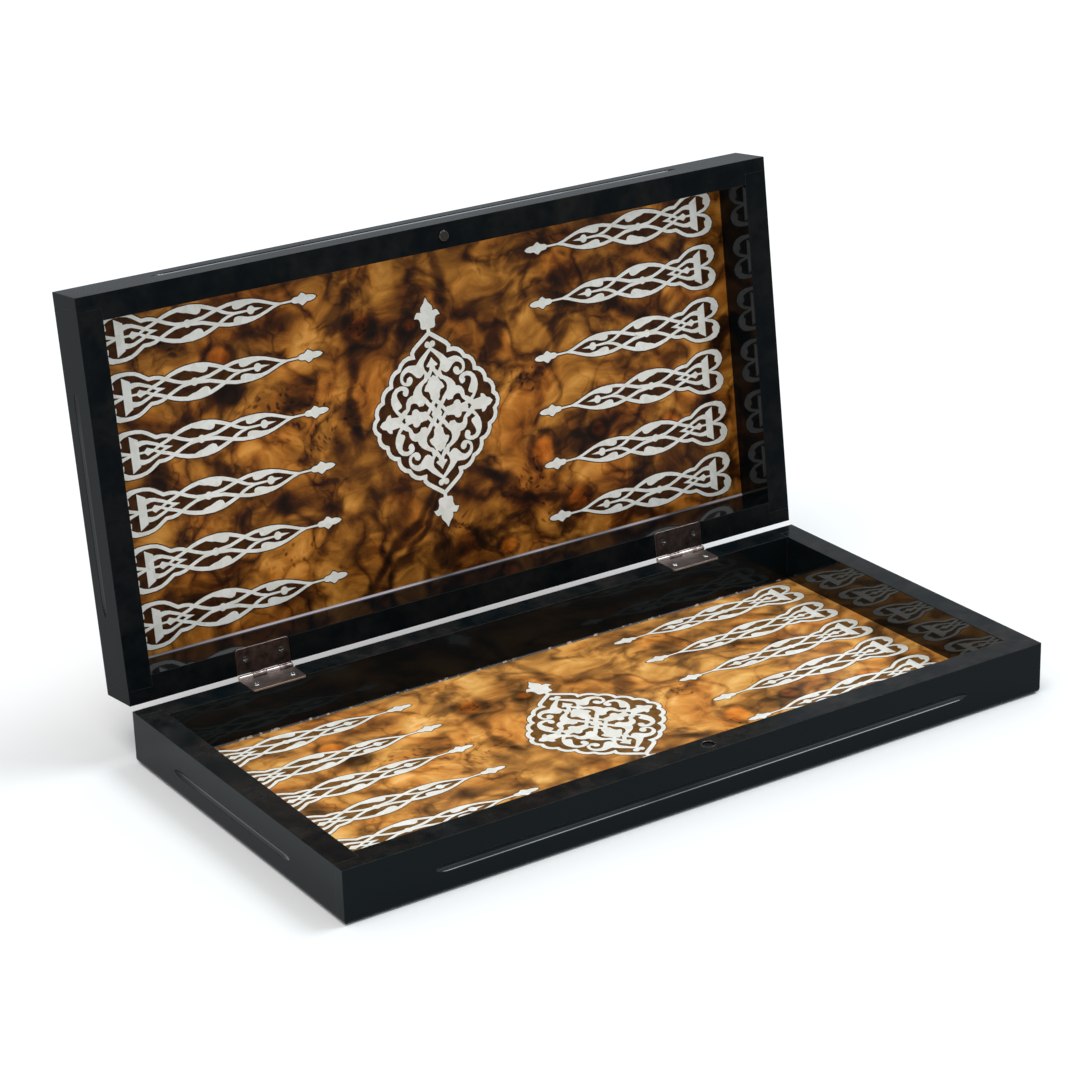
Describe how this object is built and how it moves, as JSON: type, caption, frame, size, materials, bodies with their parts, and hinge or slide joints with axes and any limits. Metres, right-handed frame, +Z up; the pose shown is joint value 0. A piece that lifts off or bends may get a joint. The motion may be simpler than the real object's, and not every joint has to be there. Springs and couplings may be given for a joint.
{
  "type": "backgammon board",
  "caption": "Folding backgammon board: two black lacquered wooden trays on butt hinges, burl panels inlaid with pearl points and medallions, magnetic catch.",
  "frame": {"origin": "centre of the lower tray's underside", "axes": "+X along the hinge, +Y from the front edge towards the hinge, +Z up"},
  "size_m": [0.48, 0.3027, 0.2741],
  "materials": {
    "black_lacquer": "black polyester lacquer, high gloss",
    "burl_veneer": "golden walnut burl veneer under clear gloss lacquer",
    "plywood": "birch plywood, unfinished",
    "dark_ground": "dark stained burl veneer under clear lacquer",
    "pearl": "polished white mother of pearl",
    "hinge_bronze": "bronzed brass, worn bright along the edges",
    "screw_steel": "plain steel",
    "catch_steel": "turned steel",
    "magnet": "dark nickel plate"
  },
  "bodies": {
    "base": {"base_front_rail": "black_lacquer", "base_back_rail": "black_lacquer", "base_left_rail": "black_lacquer", "base_right_rail": "black_lacquer", "base_back_veneer": "burl_veneer", "base_core": "plywood", "base_burl_sheet": "burl_veneer", "base_left_point_grounds": "dark_ground", "base_right_point_grounds": "dark_ground", "base_left_points": "pearl", "base_right_points": "pearl", "base_medallion_ground": "dark_ground", "base_medallion": "pearl", "base_hinge_screws": "screw_steel", "left_hinge_base_leaf": "hinge_bronze", "left_hinge_pin": "hinge_bronze", "right_hinge_base_leaf": "hinge_bronze", "right_hinge_pin": "hinge_bronze", "catch_cup": "catch_steel", "catch_magnet": "magnet"},
    "lid": {"lid_front_rail": "black_lacquer", "lid_back_rail": "black_lacquer", "lid_left_rail": "black_lacquer", "lid_right_rail": "black_lacquer", "lid_back_veneer": "burl_veneer", "lid_core": "plywood", "lid_burl_sheet": "burl_veneer", "lid_left_point_grounds": "dark_ground", "lid_right_point_grounds": "dark_ground", "lid_left_points": "pearl", "lid_right_points": "pearl", "lid_medallion_ground": "dark_ground", "lid_medallion": "pearl", "lid_hinge_screws": "screw_steel", "left_hinge_lid_leaf": "hinge_bronze", "right_hinge_lid_leaf": "hinge_bronze", "catch_stud": "catch_steel"}
  },
  "joints": [
    {"name": "lid_hinge", "type": "hinge", "parent": "base", "child": "lid", "pos_m": [0, 0.1225, 0.0327], "axis": [-1, 0, 0], "range_deg": [-96.5, 83.5]}
  ]
}
